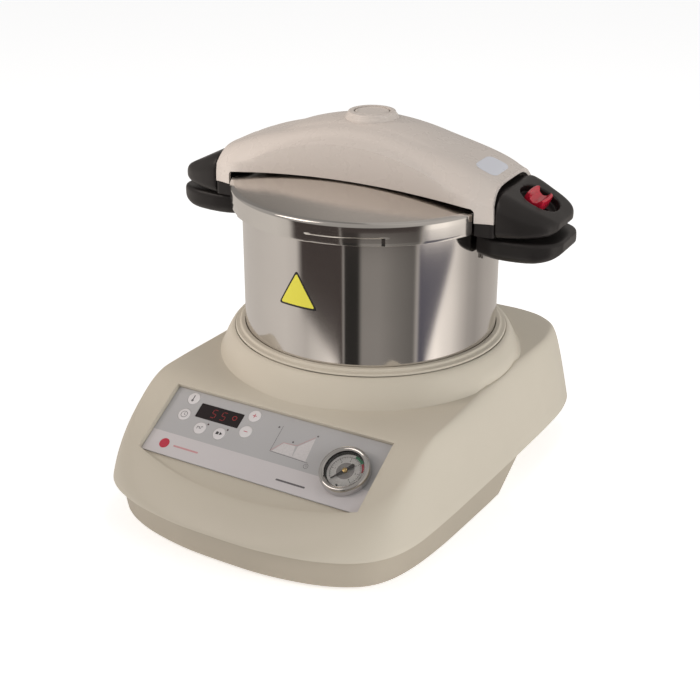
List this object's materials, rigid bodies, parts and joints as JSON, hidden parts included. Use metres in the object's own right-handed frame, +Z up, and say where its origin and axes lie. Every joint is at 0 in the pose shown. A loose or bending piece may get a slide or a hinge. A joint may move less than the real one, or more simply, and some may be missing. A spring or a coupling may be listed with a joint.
{
  "type": "pressure curing unit",
  "caption": "Bench-top pressure curing unit: sloping control panel and gauge on a heated base, fixed steel pot, bayonet-style lid with a bridge cover, side handles and slide lock.",
  "frame": {"origin": "middle of the footprint box, on the supporting surface under the rubber feet", "axes": "+Z up, -Y towards the sloping control panel at the front, +X to the user's right"},
  "size_m": [0.3564, 0.4152, 0.313],
  "materials": {
    "beige": "fine matt moulded plastic",
    "tray": "fine matt moulded plastic",
    "black": "satin black phenolic plastic",
    "red": "glossy red plastic",
    "steel": "polished stainless steel with fine turning marks",
    "aluminium": "plain aluminium",
    "dark_metal": "black painted steel",
    "brass": "turned brass",
    "chrome": "bright chrome",
    "rubber": "black rubber",
    "panel": "printed membrane film",
    "key": "satin membrane key",
    "board": "green circuit board",
    "black_glass": "dark tinted window",
    "glass": "clear lens",
    "dial": "white painted dial"
  },
  "bodies": {
    "base": {"upper_housing": "beige", "lower_tray": "tray", "foot_front_left": "rubber", "foot_front_right": "rubber", "foot_rear_left": "rubber", "foot_rear_right": "rubber", "pot_support": "steel", "heater_plate": "aluminium", "heating_element": "dark_metal", "temperature_probe": "steel", "pot_base_plate": "aluminium", "pot_body": "steel", "pot_port": "brass", "pot_handle_right": "black", "pot_handle_left": "black", "pot_bracket_right": "steel", "pot_bracket_left": "steel", "handle_screw_right": "steel", "handle_screw_left": "steel", "collar_ring": "beige", "control_overlay": "panel", "display_window": "black_glass", "control_board": "board", "gauge_case": "black", "gauge_bezel": "chrome", "gauge_lens": "glass", "gauge_dial": "dial", "gauge_movement": "brass", "power_board": "board", "air_manifold": "aluminium", "inlet_valve": "brass", "exhaust_valve": "brass", "air_inlet_fitting": "brass", "exhaust_silencer": "brass", "mains_inlet": "black", "switch_frame": "black", "pot_hose": "rubber", "gauge_hose": "rubber", "supply_hose": "rubber"},
    "seal": {"lid_gasket": "rubber"},
    "lid": {"lid": "steel", "bridge_bar": "dark_metal", "bridge_cover": "beige", "lid_handle_left": "black", "lid_handle_right": "black", "lid_bolt_left": "steel", "lid_bolt_right": "steel", "vent_valve": "brass", "safety_valve": "brass", "vent_spring": "steel"},
    "lock": {"lock_slider": "red"},
    "vent": {"vent_button": "beige"},
    "needle": {"gauge_needle": "black"},
    "rocker": {"power_switch": "key"},
    "key_temperature_cap": {"key_temperature": "key"},
    "key_time_cap": {"key_time": "key"},
    "key_program_cap": {"key_program": "key"},
    "key_start_cap": {"key_start": "key"},
    "key_plus_cap": {"key_plus": "key"},
    "key_minus_cap": {"key_minus": "key"}
  },
  "joints": [
    {"name": "lid_lift", "type": "slide", "parent": "base", "child": "seal", "axis": [0, 0, 1], "range_m": [0, 0.15]},
    {"name": "lid_turn", "type": "hinge", "parent": "seal", "child": "lid", "pos_m": [0, 0.0369, 0.25], "axis": [0, 0, 1], "range_deg": [0, 30]},
    {"name": "lock_slide", "type": "slide", "parent": "lid", "child": "lock", "axis": [0.9089, 0.0445, -0.4147], "range_m": [0, 0.0055]},
    {"name": "vent_press", "type": "slide", "parent": "lid", "child": "vent", "axis": [0, 0, -1], "range_m": [0, 0.0035], "stiffness_N_per_m": 300, "springref_m": -0.004, "deforming": ["vent_spring"]},
    {"name": "needle_turn", "type": "hinge", "parent": "base", "child": "needle", "pos_m": [0.078, -0.13583, 0.07583], "axis": [0, 0.515, -0.8572], "range_deg": [0, 270], "stiffness_Nm_per_rad": 0.0002, "springref_deg": -28.65},
    {"name": "power_rock", "type": "hinge", "parent": "base", "child": "rocker", "pos_m": [-0.032, 0.1897, 0.062], "axis": [-1, 0, 0], "range_deg": [0, 24]},
    {"name": "key_temperature_press", "type": "slide", "parent": "base", "child": "key_temperature_cap", "axis": [0, 0.515, -0.8572], "range_m": [0, 0.0004], "stiffness_N_per_m": 400, "springref_m": -0.0005},
    {"name": "key_time_press", "type": "slide", "parent": "base", "child": "key_time_cap", "axis": [0, 0.515, -0.8572], "range_m": [0, 0.0004], "stiffness_N_per_m": 400, "springref_m": -0.0005},
    {"name": "key_program_press", "type": "slide", "parent": "base", "child": "key_program_cap", "axis": [0, 0.515, -0.8572], "range_m": [0, 0.0004], "stiffness_N_per_m": 400, "springref_m": -0.0005},
    {"name": "key_start_press", "type": "slide", "parent": "base", "child": "key_start_cap", "axis": [0, 0.515, -0.8572], "range_m": [0, 0.0004], "stiffness_N_per_m": 400, "springref_m": -0.0005},
    {"name": "key_plus_press", "type": "slide", "parent": "base", "child": "key_plus_cap", "axis": [0, 0.515, -0.8572], "range_m": [0, 0.0004], "stiffness_N_per_m": 400, "springref_m": -0.0005},
    {"name": "key_minus_press", "type": "slide", "parent": "base", "child": "key_minus_cap", "axis": [0, 0.515, -0.8572], "range_m": [0, 0.0004], "stiffness_N_per_m": 400, "springref_m": -0.0005}
  ]
}
